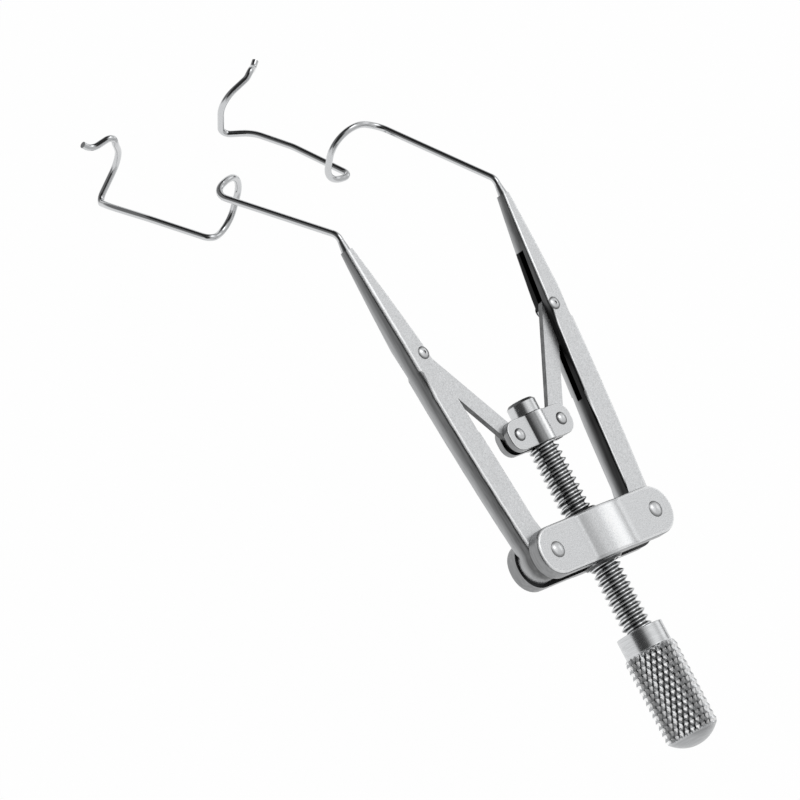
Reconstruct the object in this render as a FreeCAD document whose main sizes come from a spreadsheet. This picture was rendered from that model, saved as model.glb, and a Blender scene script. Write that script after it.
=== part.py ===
"""Wire eye speculum with a thumb screw, as a parametric document of separate pieces.

Row frame, in millimetres: the origin lies on the screw's axis, midway between the two arm pivots
and midway through the base. +X points to the right arm, +Y runs along the screw towards the lid
wires, and +Z is the side of the arms that faces away from the eye. The lid wires hook towards -Z.
"""
import FreeCAD, Part
import math
import os
import re

import Sketcher

# Driving dimensions

SIZES = [
    # Base: two plates riveted together over the arm ends and the nut
    ("arm_pivot_offset", 7.6, "half the distance between the two arm pivots"),
    ("base_gap", 2.35, "distance between the two base plates"),
    ("base_plate_thickness", 1.45, "flat part of a base plate"),
    ("base_plate_width", 5.2, "size of the base along the screw"),
    ("base_end_margin", 2.45, "from an arm pivot to the end of the plate"),
    ("base_end_flat", 0.2, "flat left between the corner roundings of a plate end"),
    ("base_bulge_half_width", 3.2, "half width of the raised part over the nut"),
    ("base_bulge_rise", 0.55, "height of the raised part over the flat"),
    ("base_bulge_blend", 3.0, "blend radius at the foot of the raised part"),
    ("base_edge_radius", 0.35, "rounding of the plate's outer edge"),
    ("base_rivet_diameter", 1.3, "shank of a base rivet"),
    ("base_rivet_head", 1.75, "head of a base rivet"),
    ("base_rivet_rise", 0.24, "height of that head"),
    # Nut between the plates
    ("nut_wall", 0.475, "wall of the nut around the thread"),
    ("nut_length", 5.8, "length of the nut along the screw"),
    ("nut_chamfer", 0.25, "chamfer at the nut's ends"),
    # Arms
    ("arm_eye_radius", 2.2, "rounded lower end of an arm, about its pivot"),
    ("arm_inner_base_x", 6.9, "inner edge where the arm leaves the base"),
    ("arm_base_y", 3.0, "height on the screw axis of the inner edge's start"),
    ("arm_shoulder_y", 0.9, "height at which the outer edge starts"),
    ("arm_heel_share", 0.9, "share of the eye's radius at which the inner edge leaves it"),
    ("arm_inner_bow", 0.4, "inward bow of the inner edge"),
    ("arm_outer_bow", 0.52, "outward bow of the outer edge"),
    ("arm_tip_y", 36.0, "end of an arm"),
    ("arm_tip_x", 12.0, "middle of an arm's end"),
    ("arm_tip_width", 1.06, "width of an arm's end"),
    ("arm_tip_thickness", 1.26, "thickness of an arm's end"),
    ("arm_taper_y", 25.0, "place from which an arm gets thinner"),
    ("arm_edge_radius", 0.28, "rounding along an arm's edges"),
    ("arm_back_radius", 0.46, "rounding along the edges of an arm's outer side"),
    ("arm_side_play", 0.03, "gap between an arm and each base plate"),
    ("arm_pin_y", 23.5, "pivot of a link in its arm, along the screw"),
    ("arm_pin_inset", 0.71, "the same pivot from the arm's inner edge"),
    ("arm_pin_diameter", 0.9, "shank of an arm pin"),
    ("arm_pin_head", 1.4, "head of an arm pin"),
    ("arm_pin_rise", 0.2, "height of that head"),
    ("arm_pin_dimple", 0.36, "punch mark in the head"),
    # Slot in an arm for its link
    ("slot_low_y", 13.5, "lower end of the slot"),
    ("slot_high_y", 29.8, "upper end of the slot"),
    ("slot_wall", 0.85, "wall between the slot's floor and the arm's outer edge, at the pin"),
    ("slot_corner", 1.1, "radius that the cutter leaves in the slot's corners"),
    # Links
    ("link_thickness", 0.6, "thickness of a link"),
    ("link_width", 1.9, "width of a link"),
    ("link_eye_radius", 1.2, "rounded end of a link in the collar"),
    ("link_side_play", 0.04, "gap beside a link in slot and collar"),
    ("link_eye_shift_x", -0.055, "eye from the rivet's centre, so that the play is shared over the travel"),
    ("link_eye_shift_y", -0.06, "the same along the screw"),
    ("link_eye_play", 0.1, "radial clearance of a collar rivet in its link"),
    # Collar that the screw carries
    ("collar_y", 12.3, "middle of the collar along the screw"),
    ("collar_length", 3.3, "size of the collar along the screw"),
    ("collar_pivot_offset", 3.2, "half the distance between the collar rivets"),
    ("collar_end_margin", 1.45, "from a collar rivet to the end of the plate"),
    ("collar_end_flat", 0.5, "flat left between the corner roundings of a collar plate's end"),
    ("collar_thickness", 0.74, "thickness of a collar plate"),
    ("collar_edge_radius", 0.12, "rounding of a collar plate's outer edge"),
    ("collar_bulge_blend", 0.16, "blend radius at the foot of the neck bulge"),
    ("collar_rivet_diameter", 0.9, "shank of a collar rivet"),
    ("collar_rivet_head", 1.4, "head of a collar rivet"),
    ("collar_rivet_rise", 0.28, "height of that head"),
    # Screw
    ("screw_diameter", 3.15, "outside of the thread"),
    ("screw_fit", 0.05, "radial clearance of the thread in the nut"),
    ("thread_pitch", 0.74, "from one crest of the thread to the next"),
    ("thread_depth", 0.395, "depth of the thread"),
    ("thread_crest", 0.1, "flat on a crest"),
    ("thread_root", 0.14, "flat in a root"),
    ("neck_diameter", 1.9, "plain neck that the collar turns on"),
    ("neck_fit", 0.04, "radial clearance of the neck in the collar"),
    ("collar_end_play", 0.04, "gap between the collar and what holds it on each side"),
    ("cap_diameter", 3.12, "end cap of the screw"),
    ("cap_length", 1.7, "length of the end cap"),
    ("cap_chamfer", 0.28, "chamfer of the end cap"),
    ("cap_dome", 0.16, "dome on the end cap"),
    ("cap_seat", 0.85, "depth of the neck in the end cap"),
    # Thumb knob
    ("knob_start", 10.35, "from the arm pivots to the knob"),
    ("knob_neck_step", 0.35, "step from the grip down to the knob's smooth neck"),
    ("knob_neck_length", 2.2, "length of that neck"),
    ("knob_diameter", 5.7, "knurled grip of the knob"),
    ("knob_grip_length", 9.55, "length of the grip"),
    ("knob_chamfer", 0.3, "chamfer at both ends of the grip"),
    ("knob_dome", 1.1, "height of the rounded end"),
    ("knob_seat", 6.0, "depth of the screw in the knob"),
    # Lid wires
    ("lid_wire_diameter", 0.7, "spring wire of the lid wires"),
    ("wire_root_diameter", 1.0, "braze flare where a wire enters its arm"),
    ("wire_root_length", 1.15, "length of that flare"),
    ("wire_seat", 2.6, "depth of a wire in its arm"),
    ("wire_neck", 1.85, "straight part of a wire beyond its arm"),
    ("wire_neck_radius", 1.25, "bend at the end of that part"),
    ("wire_drop_angle", 45.0, "angle of the lid wires below the arms"),
    ("right_wire_yaw", 3.65, "sideways set of the right lid wire"),
    ("right_wire_pitch", 2.45, "upward set of the right lid wire"),
    ("left_wire_yaw", 4.35, "sideways set of the left lid wire, the same way"),
    ("left_wire_pitch", -2.65, "upward set of the left lid wire"),
]

# Bends of a lid wire, each with its distance along the rail, inwards and below the rail, and radius
WIRE_BENDS = [
    ("rail_end", 15.9, -0.25, 0.15, 1.85),
    ("near_hook_top", 16.45, 5.8, -1.65, 2.9),
    ("near_hook_foot", 17.85, 4.6, 6.25, 2.4),
    ("bar_start", 17.2, 1.2, 6.0, 0.85),
    ("bar_middle", 25.25, 0.9, 6.0, 8.0),
    ("bar_end", 30.55, 1.15, 6.35, 5.0),
    ("far_hook_foot", 33.45, 2.7, 7.2, 0.85),
    ("far_hook_side", 32.3, 4.75, 2.35, 3.25),
    ("far_hook_top", 31.05, 2.4, -0.15, 1.55),
    ("tail_start", 30.9, 1.95, -1.25, 0.75),
    ("tail_end", 32.25, 0.1, 0.15, 1.25),
    ("wire_end", 32.65, -0.8, -0.55, 0.0),
]
for bend, along, inward, below, bend_radius in WIRE_BENDS:
    SIZES.append((bend + "_along", along, "lid wire bend, distance along the rail"))
    SIZES.append((bend + "_inward", inward, "the same bend, distance towards the screw's plane"))
    SIZES.append((bend + "_below", below, "the same bend, distance below the rail"))
    if bend_radius:
        SIZES.append((bend + "_radius", bend_radius, "centreline radius of the same bend"))

doc = FreeCAD.newDocument("Speculum")
sheet = doc.addObject("Spreadsheet::Sheet", "Sizes")
for row, (alias, size, meaning) in enumerate(SIZES, start=1):
    sheet.set(f"A{row}", alias)
    sheet.set(f"B{row}", str(size))
    sheet.setAlias(f"B{row}", alias)
    sheet.set(f"C{row}", meaning)
doc.recompute()

derived = doc.addObject("App::VarSet", "Derived")
WORD = re.compile(r"[a-z_]+")
HOMES = {alias: sheet for alias, _, _ in SIZES}


def value(alias):
    """Return a driving or derived dimension as a number."""
    return float(getattr(HOMES[alias], alias))


def bound(expression):
    """Return an expression of aliases in the form that other objects of the document read."""
    return WORD.sub(lambda m: f"{HOMES[m[0]].Name}.{m[0]}" if m[0] in HOMES else m[0], expression)


def number(expression):
    """Return what an expression of aliases amounts to now."""
    filled = WORD.sub(lambda m: f"({value(m[0])})" if m[0] in HOMES else m[0], expression)
    return FreeCAD.Units.parseQuantity(filled).Value


def derive(name, expression):
    """Name what an expression of aliases amounts to. The document keeps it up to date."""
    derived.addProperty("App::PropertyFloat", name)
    derived.setExpression(name, bound(expression))
    doc.recompute()
    HOMES[name] = derived


# Values that several pieces share

OVERSHOOT = "3"  # how far a cutter runs past what it cuts
TOLERANCE = 0.02  # within which two lengths are the same

HALF_GAP = "(base_gap / 2)"
BASE_FACE = "(base_gap / 2 + base_plate_thickness)"
BASE_END = "(arm_pivot_offset + base_end_margin)"
NUT_BORE = "(screw_diameter / 2 + screw_fit)"
NUT_RADIUS = "(screw_diameter / 2 + screw_fit + nut_wall)"
LINK_ROOM = "(link_thickness / 2 + link_side_play)"
COLLAR_FACE = "(link_thickness / 2 + link_side_play + collar_thickness)"
COLLAR_LOW = "(collar_y - collar_length / 2)"
COLLAR_HIGH = "(collar_y + collar_length / 2)"
THREAD_END = f"({COLLAR_LOW} - collar_end_play)"
CAP_START = f"({COLLAR_HIGH} + collar_end_play)"
NECK_BORE = "(neck_diameter / 2 + neck_fit)"

ARM_HALF = "(base_gap / 2 - arm_side_play)"
TIP_INNER = "(arm_tip_x - arm_tip_width / 2)"
TIP_OUTER = "(arm_tip_x + arm_tip_width / 2)"
EYE_OUTER = "(arm_pivot_offset + sqrt(arm_eye_radius^2 - arm_shoulder_y^2))"


def bowed(low, high, bow, y):
    """Return an edge's distance from the screw at a height: its chord plus a parabola bow high."""
    (low_x, low_y), (high_x, high_y) = low, high
    share = f"(({y} - {low_y}) / ({high_y} - {low_y}))"
    return f"({low_x} + ({high_x} - {low_x}) * {share} + 4 * ({bow}) * {share} * (1 - {share}))"


def bow_radius(bow, across, along):
    """Return the radius of an edge that bows out by a given height between two ends."""
    return f"((({across})^2 + ({along})^2) / (8 * {bow}) + {bow} / 2)"


derive("arm_pin_x", "arm_pin_inset + " + bowed(
    ("arm_inner_base_x", "arm_base_y"), (TIP_INNER, "arm_tip_y"), "-arm_inner_bow", "arm_pin_y"))
derive("slot_floor_x", "-slot_wall + " + bowed(
    (EYE_OUTER, "arm_shoulder_y"), (TIP_OUTER, "arm_tip_y"), "arm_outer_bow", "arm_pin_y"))
derive("slot_floor_slope", f"({TIP_OUTER} - {EYE_OUTER}) / (arm_tip_y - arm_shoulder_y)")


# Sketch and feature helpers

def new_body(label):
    """Return an empty body with the name of its piece."""
    body = doc.addObject("PartDesign::Body", label)
    body.Label = label
    return body


def new_sketch(body, name, role):
    """Return a sketch on one of the body's own origin planes."""
    sketch = body.newObject("Sketcher::SketchObject", name)
    plane = next(f for f in body.Origin.OriginFeatures if f.Role == role)
    sketch.AttachmentSupport = [(plane, "")]
    sketch.MapMode = "FlatFace"
    return sketch


def constrain(sketch, kind, *parts, expression=None):
    """Add a constraint, with its value bound to an expression of aliases where one is given."""
    if expression is None:
        return sketch.addConstraint(Sketcher.Constraint(kind, *parts))
    index = sketch.addConstraint(Sketcher.Constraint(kind, *parts, number(expression)))
    sketch.setExpression(f"Constraints[{index}]", bound(expression))
    return index


HALF_TURN_MARGIN = 1.0001  # keeps an arc of half a turn from failing on rounding


def arc_through(start, end, radius):
    """Return an arc from start to end. A positive radius bulges to the right of the way there."""
    chord = end - start
    side = FreeCAD.Vector(chord.y, -chord.x, 0).normalize()
    half = chord.Length / 2
    size = max(abs(radius), half * HALF_TURN_MARGIN)
    sagitta = size - math.sqrt(size ** 2 - half ** 2)
    middle = (start + end) / 2 + side * math.copysign(sagitta, radius)
    return Part.Arc(start, middle, end)


def add_loop(sketch, corners):
    """Add a closed outline. Each corner is x, y and the radius of the arc to the next corner."""
    points = [FreeCAD.Vector(number(x), number(y), 0) for x, y, _ in corners]
    first = sketch.GeometryCount
    ends = []
    for i, (_, _, radius) in enumerate(corners):
        start, end = points[i], points[(i + 1) % len(points)]
        if radius is None:
            sketch.addGeometry(Part.LineSegment(start, end))
            ends.append((1, 2))
            continue
        arc = arc_through(start, end, number(radius))
        sketch.addGeometry(arc)
        ends.append((1, 2) if number(radius) > 0 else (2, 1))
    for i, (x, y, radius) in enumerate(corners):
        here, before = first + i, first + (i - 1) % len(corners)
        constrain(sketch, "Coincident", before, ends[i - 1][1], here, ends[i][0])
        constrain(sketch, "DistanceX", -1, 1, here, ends[i][0], expression=x)
        constrain(sketch, "DistanceY", -1, 1, here, ends[i][0], expression=y)
        if radius is not None:
            constrain(sketch, "Radius", here, expression=f"abs({radius})")


def rounded_box(left, right, low, high, radius):
    """Return the corners of an upright rectangle with rounded corners."""
    return [
        (f"{left} + {radius}", low, None), (f"{right} - {radius}", low, radius),
        (right, f"{low} + {radius}", None), (right, f"{high} - {radius}", radius),
        (f"{right} - {radius}", high, None), (f"{left} + {radius}", high, radius),
        (left, f"{high} - {radius}", None), (left, f"{low} + {radius}", radius),
    ]


def add_circle(sketch, x, y, diameter):
    """Add a circle, its centre and diameter bound to the sheet."""
    centre = FreeCAD.Vector(number(x), number(y), 0)
    circle = sketch.addGeometry(Part.Circle(centre, FreeCAD.Vector(0, 0, 1), number(diameter) / 2))
    constrain(sketch, "DistanceX", -1, 1, circle, 3, expression=x)
    constrain(sketch, "DistanceY", -1, 1, circle, 3, expression=y)
    constrain(sketch, "Diameter", circle, expression=diameter)


def pad(body, sketch, length):
    """Pad a sketch by a length, half to each side."""
    feature = body.newObject("PartDesign::Pad", sketch.Name + "Pad")
    feature.Profile = sketch
    feature.Midplane = True
    feature.setExpression("Length", bound(length))
    doc.recompute()
    return feature


def pocket(body, sketch, length=None):
    """Cut a sketch out to both sides, by a whole length or through everything."""
    before = body.Shape.Volume
    feature = body.newObject("PartDesign::Pocket", sketch.Name + "Pocket")
    feature.Profile = sketch
    feature.Midplane = True
    if length is None:
        feature.Type = "ThroughAll"
    else:
        feature.setExpression("Length", bound(length))
    doc.recompute()
    if not body.Shape.Volume < before:
        raise RuntimeError(f"{body.Label}: {sketch.Name} cuts nothing")
    return feature


def revolve(body, sketch, role):
    """Turn a sketch round one of the body's own axes."""
    feature = body.newObject("PartDesign::Revolution", sketch.Name + "Turn")
    feature.Profile = sketch
    axis = next(f for f in body.Origin.OriginFeatures if f.Role == role)
    feature.ReferenceAxis = (axis, [""])
    feature.Angle = 360
    doc.recompute()
    return feature


def round_edges(body, name, radius, chosen):
    """Fillet the edges of a body for which chosen(edge, middle) is true."""
    base = body.Tip
    names = []
    for i, edge in enumerate(base.Shape.Edges, start=1):
        middle = edge.valueAt((edge.FirstParameter + edge.LastParameter) / 2)
        if chosen(edge, middle):
            names.append(f"Edge{i}")
    if not names:
        raise RuntimeError(f"{body.Label}: {name} has no edges")
    feature = body.newObject("PartDesign::Fillet", name)
    feature.Base = (base, names)
    feature.setExpression("Radius", bound(radius))
    doc.recompute()
    return feature


def mirror(source, label, normal):
    """Return the mirror image of a piece as a piece of its own."""
    image = doc.addObject("Part::Mirroring", label)
    image.Label = label
    image.Source = source
    image.Normal = normal
    doc.recompute()
    return image


def near(a, b):
    """Say whether two lengths agree."""
    return abs(a - b) < TOLERANCE


# Plates

def clamp_plate(label, span, width, middle_y, heights, end_flat, bulge, bore, blend, edge_radius, rivet):
    """Return a plate with rounded ends, a bulge over what it clamps and a half bore inside.

    span is from the middle to each end, heights are those of its inner and outer faces, bulge is
    (half width, radius) of the raised part and rivet is (offset, diameter) of its holes.
    """
    body = new_body(label)
    (inner, outer), (half_bulge, bulge_radius) = heights, bulge
    far = f"({span} + {OVERSHOOT})"
    bore_foot = f"sqrt(({bore})^2 - ({inner})^2)"
    section = new_sketch(body, label + "Section", "XZ_Plane")
    add_loop(section, [
        (f"-{far}", inner, None), (f"-{bore_foot}", inner, f"-({bore})"), (bore_foot, inner, None),
        (far, inner, None), (far, outer, None), (half_bulge, outer, bulge_radius),
        (f"-{half_bulge}", outer, None), (f"-{far}", outer, None),
    ])
    section.setExpression("AttachmentOffset.Base.z", bound(f"-({middle_y})"))
    pad(body, section, width)
    foot, middle_line = number(half_bulge), number(middle_y)
    round_edges(body, label + "Blend", blend,
                lambda edge, middle: near(abs(middle.x), foot) and near(middle.y, middle_line))
    trim = new_sketch(body, label + "Ends", "XY_Plane")
    beyond = f"({far} + {OVERSHOOT})"
    add_loop(trim, [
        (f"-{beyond}", f"{middle_y} - {width}", None), (beyond, f"{middle_y} - {width}", None),
        (beyond, f"{middle_y} + {width}", None), (f"-{beyond}", f"{middle_y} + {width}", None),
    ])
    low, high = f"{middle_y} - {width} / 2", f"{middle_y} + {width} / 2"
    add_loop(trim, rounded_box(f"-{span}", span, low, high, f"(({width} - {end_flat}) / 2)"))
    pocket(body, trim)
    floor, reach = number(outer) - TOLERANCE / 2, number(span) - TOLERANCE
    round_edges(body, label + "Edge", edge_radius, lambda edge, middle: (
        edge.BoundBox.ZMin > floor
        and not (near(middle.y, middle_line) and abs(middle.x) < reach)))
    holes = new_sketch(body, label + "Holes", "XY_Plane")
    offset, diameter = rivet
    for side in ("-", ""):
        add_circle(holes, f"{side}{offset}", middle_y, diameter)
    pocket(body, holes)
    return body


BULGE_RADIUS = "((base_bulge_half_width^2 + base_bulge_rise^2) / (2 * base_bulge_rise))"
base_plate_front = clamp_plate(
    "base_plate_front", BASE_END, "base_plate_width", "0", (HALF_GAP, BASE_FACE), "base_end_flat",
    ("base_bulge_half_width", BULGE_RADIUS), NUT_RADIUS, "base_bulge_blend", "base_edge_radius",
    ("arm_pivot_offset", "base_rivet_diameter"))
base_plate_back = mirror(base_plate_front, "base_plate_back", FreeCAD.Vector(0, 0, 1))

COLLAR_BULGE = f"({NECK_BORE} + collar_thickness)"
COLLAR_BULGE_HALF = f"sqrt({COLLAR_BULGE}^2 - {COLLAR_FACE}^2)"
collar_plate_front = clamp_plate(
    "collar_plate_front", "(collar_pivot_offset + collar_end_margin)", "collar_length", "collar_y",
    (LINK_ROOM, COLLAR_FACE), "collar_end_flat", (COLLAR_BULGE_HALF, COLLAR_BULGE), NECK_BORE,
    "collar_bulge_blend", "collar_edge_radius", ("collar_pivot_offset", "collar_rivet_diameter"))
collar_plate_back = mirror(collar_plate_front, "collar_plate_back", FreeCAD.Vector(0, 0, 1))


# Rivets and pins

def dome_radius(foot, rise):
    """Return the radius of a dome of given rise over a foot of given radius."""
    return f"((({foot})^2 + {rise}^2) / (2 * {rise}))"


def rivet(label, x, y, shank, head, face, rise, dimple=None):
    """Return a rivet along Z with a domed head on each outer face."""
    body = new_body(label)
    half = new_sketch(body, label + "Half", "XZ_Plane")
    dome = dome_radius(f"({head} / 2)", rise)
    add_loop(half, [
        ("0", f"-{face} - {rise}", dome), (f"{head} / 2", f"-{face}", None),
        (f"{shank} / 2", f"-{face}", None), (f"{shank} / 2", face, None),
        (f"{head} / 2", face, dome), ("0", f"{face} + {rise}", None),
    ])
    revolve(body, half, "Z_Axis")
    if dimple:
        mark = new_sketch(body, label + "Mark", "XY_Plane")
        add_circle(mark, "0", "0", dimple)
        mark.setExpression("AttachmentOffset.Base.z", bound(f"{face} + {rise}"))
        pocket(body, mark, rise)
    body.setExpression("Placement.Base.x", bound(x))
    body.setExpression("Placement.Base.y", bound(y))
    doc.recompute()
    return body


RIGHT_TO_LEFT = FreeCAD.Vector(1, 0, 0)
base_rivet_right = rivet(
    "base_rivet_right", "arm_pivot_offset", "0",
    "base_rivet_diameter", "base_rivet_head", BASE_FACE, "base_rivet_rise")
arm_pin_right = rivet(
    "arm_pin_right", "arm_pin_x", "arm_pin_y",
    "arm_pin_diameter", "arm_pin_head", ARM_HALF, "arm_pin_rise", "arm_pin_dimple")
collar_rivet_right = rivet(
    "collar_rivet_right", "collar_pivot_offset", "collar_y",
    "collar_rivet_diameter", "collar_rivet_head", COLLAR_FACE, "collar_rivet_rise")
for piece in (base_rivet_right, arm_pin_right, collar_rivet_right):
    mirror(piece, piece.Label.replace("right", "left"), RIGHT_TO_LEFT)


# Arms

def make_arm():
    """Return the right arm: a bowed, tapering bar with an eye, a link slot and a seat for its wire."""
    body = new_body("arm_right")
    heel_y = "(arm_eye_radius * arm_heel_share)"
    heel_x = "(arm_pivot_offset - arm_eye_radius * sqrt(1 - arm_heel_share^2))"
    outer_bow = bow_radius("arm_outer_bow", f"{TIP_OUTER} - {EYE_OUTER}", "arm_tip_y - arm_shoulder_y")
    inner_bow = bow_radius("arm_inner_bow", f"{TIP_INNER} - arm_inner_base_x", "arm_tip_y - arm_base_y")
    outline = new_sketch(body, "ArmOutline", "XY_Plane")
    add_loop(outline, [
        (EYE_OUTER, "arm_shoulder_y", outer_bow), (TIP_OUTER, "arm_tip_y", None),
        (TIP_INNER, "arm_tip_y", inner_bow), ("arm_inner_base_x", "arm_base_y", None),
        (heel_x, heel_y, "arm_eye_radius"), ("arm_pivot_offset", "-arm_eye_radius", "arm_eye_radius"),
    ])
    pad(body, outline, f"2 * {ARM_HALF}")
    slope = f"(({ARM_HALF} - arm_tip_thickness / 2) / (arm_tip_y - arm_taper_y))"
    past_tip = f"(arm_tip_y + {OVERSHOOT})"
    for side, name in (("", "ArmTaperFront"), ("-", "ArmTaperBack")):
        wedge = new_sketch(body, name, "YZ_Plane")
        add_loop(wedge, [
            ("arm_taper_y", f"{side}{ARM_HALF}", None),
            (past_tip, f"{side}(arm_tip_thickness / 2 - {slope} * {OVERSHOOT})", None),
            (past_tip, f"{side}({ARM_HALF} + {OVERSHOOT})", None),
            ("arm_taper_y", f"{side}({ARM_HALF} + {OVERSHOOT})", None),
        ])
        pocket(body, wedge)
    tip, taper = value("arm_tip_y"), value("arm_taper_y")
    base, root = value("arm_base_y"), value("arm_pivot_offset")

    def lengthwise(edge, middle):
        """Say whether an edge runs along the arm's inner or outer side, above the eye."""
        return (middle.y > base and not near(middle.y, tip) and not near(middle.y, taper)
                and edge.BoundBox.ZLength < edge.BoundBox.DiagonalLength / 2)

    def outer(middle):
        """Say whether a place lies on the outer side of the arm's middle."""
        share = (middle.y - base) / (tip - base)
        return middle.x > root + (value("arm_tip_x") - root) * share

    round_edges(body, "ArmOuterEdges", "arm_back_radius", lambda edge, middle: (
        lengthwise(edge, middle) and outer(middle)))
    round_edges(body, "ArmInnerEdges", "arm_edge_radius", lambda edge, middle: (
        lengthwise(edge, middle) and not outer(middle)))
    slot = new_sketch(body, "ArmSlot", "XY_Plane")
    add_loop(slot, slot_outline())
    pocket(body, slot, f"2 * {LINK_ROOM}")
    holes = new_sketch(body, "ArmHoles", "XY_Plane")
    add_circle(holes, "arm_pivot_offset", "0", "base_rivet_diameter + 2 * arm_side_play")
    add_circle(holes, "arm_pin_x", "arm_pin_y", "arm_pin_diameter")
    pocket(body, holes)
    seat = new_sketch(body, "WireSeat", "XZ_Plane")
    add_circle(seat, "arm_tip_x", "0", "lid_wire_diameter")
    seat.setExpression("AttachmentOffset.Base.z", bound("-arm_tip_y"))
    pocket(body, seat, "2 * wire_seat")
    return body


def slot_floor(y):
    """Return how far from the screw the slot's floor is at a height y."""
    return f"(slot_floor_x + slot_floor_slope * ({y} - arm_pin_y))"


def slot_outline():
    """Return the corners of the link slot, open towards the screw."""
    low, high = "(slot_low_y + slot_corner)", "(slot_high_y - slot_corner)"
    mouth = "(arm_pivot_offset - arm_eye_radius)"
    return [
        (mouth, "slot_low_y", None),
        (f"{slot_floor(low)} - slot_corner", "slot_low_y", "slot_corner"),
        (slot_floor(low), low, None), (slot_floor(high), high, "slot_corner"),
        (f"{slot_floor(high)} - slot_corner", "slot_high_y", None), (mouth, "slot_high_y", None),
    ]


arm_right = make_arm()
arm_left = mirror(arm_right, "arm_left", RIGHT_TO_LEFT)


# Links

def make_link():
    """Return the right link: a flat bar from the collar's rivet to the arm's pin."""
    body = new_body("link_right")
    eye_x, eye_y = "(collar_pivot_offset + link_eye_shift_x)", "(collar_y + link_eye_shift_y)"
    across, along = f"(arm_pin_x - {eye_x})", f"(arm_pin_y - {eye_y})"
    length = f"sqrt({across}^2 + {along}^2)"
    bar = new_sketch(body, "LinkBar", "XY_Plane")
    half, eye = "link_width / 2", "link_eye_radius"
    shoulder = "sqrt(link_eye_radius^2 - (link_width / 2)^2)"
    add_loop(bar, [
        (half, shoulder, None), (half, length, half), (f"-{half}", length, None),
        (f"-{half}", shoulder, eye), ("0", f"-{eye}", eye),
    ])
    pad(body, bar, "link_thickness")
    holes = new_sketch(body, "LinkHoles", "XY_Plane")
    add_circle(holes, "0", "0", "collar_rivet_diameter + 2 * link_eye_play")
    add_circle(holes, "0", length, "arm_pin_diameter + 2 * arm_side_play")
    pocket(body, holes)
    lean = math.degrees(math.atan2(number(across), number(along)))
    body.Placement.Rotation = FreeCAD.Rotation(FreeCAD.Vector(0, 0, 1), -lean)
    body.setExpression("Placement.Base.x", bound(eye_x))
    body.setExpression("Placement.Base.y", bound(eye_y))
    doc.recompute()
    return body


link_right = make_link()
link_left = mirror(link_right, "link_left", RIGHT_TO_LEFT)


# Turned pieces on the screw's axis

def turned(label, corners):
    """Return a piece turned about the screw's axis from the corners of half its section."""
    body = new_body(label)
    half = new_sketch(body, label + "Half", "XY_Plane")
    add_loop(half, corners)
    revolve(body, half, "Y_Axis")
    return body


NUT_END = "(nut_length / 2)"
drive_nut = turned("drive_nut", [
    (NUT_BORE, f"-{NUT_END}", None), (f"{NUT_RADIUS} - nut_chamfer", f"-{NUT_END}", None),
    (NUT_RADIUS, f"-{NUT_END} + nut_chamfer", None), (NUT_RADIUS, f"{NUT_END} - nut_chamfer", None),
    (f"{NUT_RADIUS} - nut_chamfer", NUT_END, None), (NUT_BORE, NUT_END, None),
])

threaded_rod = turned("threaded_rod", [
    ("0", "-knob_start - knob_seat", None), ("screw_diameter / 2", "-knob_start - knob_seat", None),
    ("screw_diameter / 2", THREAD_END, None), ("neck_diameter / 2", THREAD_END, None),
    ("neck_diameter / 2", f"{CAP_START} + cap_seat", None), ("0", f"{CAP_START} + cap_seat", None),
])


def cut_thread(body, start, end):
    """Cut a right-handed thread. It starts a pitch before start and runs out a pitch past end."""
    before = body.Shape.Volume
    groove = new_sketch(body, "ThreadGroove", "XY_Plane")
    middle, lip = f"({start} - thread_pitch)", "(thread_crest / 2)"
    foot, mouth = "(thread_root / 2)", "((thread_pitch - thread_crest) / 2)"
    spread = f"({mouth} + ({mouth} - {foot}) * {lip} / thread_depth)"
    add_loop(groove, [
        ("screw_diameter / 2 - thread_depth", f"{middle} - {foot}", None),
        (f"screw_diameter / 2 + {lip}", f"{middle} - {spread}", None),
        (f"screw_diameter / 2 + {lip}", f"{middle} + {spread}", None),
        ("screw_diameter / 2 - thread_depth", f"{middle} + {foot}", None),
    ])
    thread = body.newObject("PartDesign::SubtractiveHelix", "Thread")
    thread.Profile = groove
    axis = next(f for f in body.Origin.OriginFeatures if f.Role == "Y_Axis")
    thread.ReferenceAxis = (axis, [""])
    thread.Mode = "pitch-height-angle"
    thread.setExpression("Pitch", bound("thread_pitch"))
    thread.setExpression("Height", bound(f"{end} - ({start}) + 2 * thread_pitch"))
    doc.recompute()
    if not body.Shape.Volume < before:
        raise RuntimeError(f"{body.Label}: the thread cuts nothing")


cut_thread(threaded_rod, "-knob_start", THREAD_END)

CAP_TOP = f"({CAP_START} + cap_length)"
CAP_FLAT = "(cap_diameter / 2 - cap_chamfer)"
screw_end_cap = turned("screw_end_cap", [
    ("neck_diameter / 2", CAP_START, None), ("cap_diameter / 2", CAP_START, None),
    ("cap_diameter / 2", f"{CAP_TOP} - cap_dome - cap_chamfer", None),
    (CAP_FLAT, f"{CAP_TOP} - cap_dome", dome_radius(CAP_FLAT, "cap_dome")),
    ("0", CAP_TOP, None), ("0", f"{CAP_START} + cap_seat", None),
    ("neck_diameter / 2", f"{CAP_START} + cap_seat", None),
])

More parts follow.
